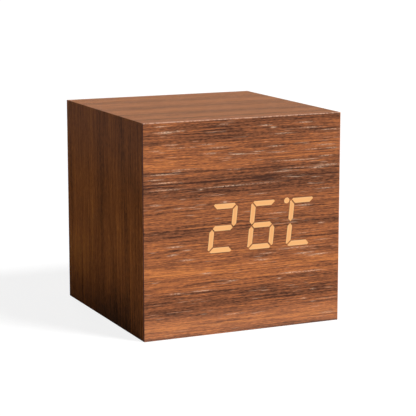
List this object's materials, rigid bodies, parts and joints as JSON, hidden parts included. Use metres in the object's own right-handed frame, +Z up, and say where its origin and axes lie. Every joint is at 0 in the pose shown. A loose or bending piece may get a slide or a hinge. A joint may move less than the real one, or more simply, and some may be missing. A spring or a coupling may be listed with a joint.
{
  "type": "led cube alarm clock",
  "caption": "Wooden cube alarm clock whose lit seven-segment display shows through a thin veneer front, with buttons in the back and a battery door underneath.",
  "frame": {"origin": "middle of the cube's underside, on the table", "axes": "+X to the right of someone reading the display, +Y from the display to the back, +Z up"},
  "size_m": [0.062, 0.062, 0.062],
  "materials": {
    "walnut_veneer": "satin",
    "walnut": "satin",
    "fibreboard": "raw",
    "pine": "raw",
    "lit_diffuser": "translucent, lit from behind",
    "diffuser": "translucent",
    "black_plastic": "fine texture",
    "white_plastic": "smooth",
    "circuit_board": "solder mask",
    "steel": "zinc plated",
    "nickel": "nickel plated",
    "chip_black": "moulded",
    "cell_jacket": "gloss sleeve",
    "red_wire": "smooth",
    "black_wire": "smooth",
    "grey_wire": "smooth"
  },
  "bodies": {
    "case": {"front_veneer": "walnut_veneer", "front_board": "fibreboard", "case_top": "walnut", "case_bottom": "walnut", "case_left": "walnut", "case_right": "walnut", "back_panel": "walnut", "upper_batten": "pine", "lower_left_block": "pine", "lower_right_block": "pine", "back_screw_1": "steel", "back_screw_2": "steel", "back_screw_3": "steel", "back_screw_4": "steel", "display_frame": "black_plastic", "digit_1_light_bars": "diffuser", "digit_2_light_bars": "lit_diffuser", "digit_3_light_bars": "lit_diffuser", "digit_4_light_bars": "lit_diffuser", "colon_light_bars": "diffuser", "degree_light_bar": "lit_diffuser", "display_board": "circuit_board", "display_screw_1": "steel", "display_screw_2": "steel", "display_screw_3": "steel", "display_screw_4": "steel", "clock_chip": "chip_black", "crystal": "nickel", "buzzer": "chip_black", "microphone": "nickel", "coin_cell_holder": "black_plastic", "coin_cell": "nickel", "thermistor": "chip_black", "control_bezel": "black_plastic", "button_board": "circuit_board", "set_switch": "chip_black", "up_switch": "chip_black", "down_switch": "chip_black", "dc_socket": "black_plastic", "battery_tray": "black_plastic", "battery_1": "cell_jacket", "battery_2": "cell_jacket", "battery_3": "cell_jacket", "contact_bridge_left": "nickel", "contact_bridge_right": "nickel", "minus_terminal": "nickel", "plus_terminal": "nickel", "tray_screw_1": "steel", "tray_screw_2": "steel", "battery_lead_red": "red_wire", "battery_lead_black": "black_wire", "ribbon_cable": "grey_wire"},
    "set_key": {"set_button": "black_plastic", "set_plunger": "white_plastic"},
    "up_key": {"up_button": "black_plastic", "up_plunger": "white_plastic"},
    "down_key": {"down_button": "black_plastic", "down_plunger": "white_plastic"},
    "door": {"battery_door": "black_plastic"}
  },
  "joints": [
    {"name": "set_press", "type": "slide", "parent": "case", "child": "set_key", "axis": [0, -1, 0], "range_m": [0, 0.0003], "stiffness_N_per_m": 2000},
    {"name": "up_press", "type": "slide", "parent": "case", "child": "up_key", "axis": [0, -1, 0], "range_m": [0, 0.0003], "stiffness_N_per_m": 2000},
    {"name": "down_press", "type": "slide", "parent": "case", "child": "down_key", "axis": [0, -1, 0], "range_m": [0, 0.0003], "stiffness_N_per_m": 2000},
    {"name": "battery_door_hinge", "type": "hinge", "parent": "case", "child": "door", "pos_m": [0, 0.0154, 0.0016], "axis": [1, 0, 0], "range_deg": [0, 90]}
  ]
}
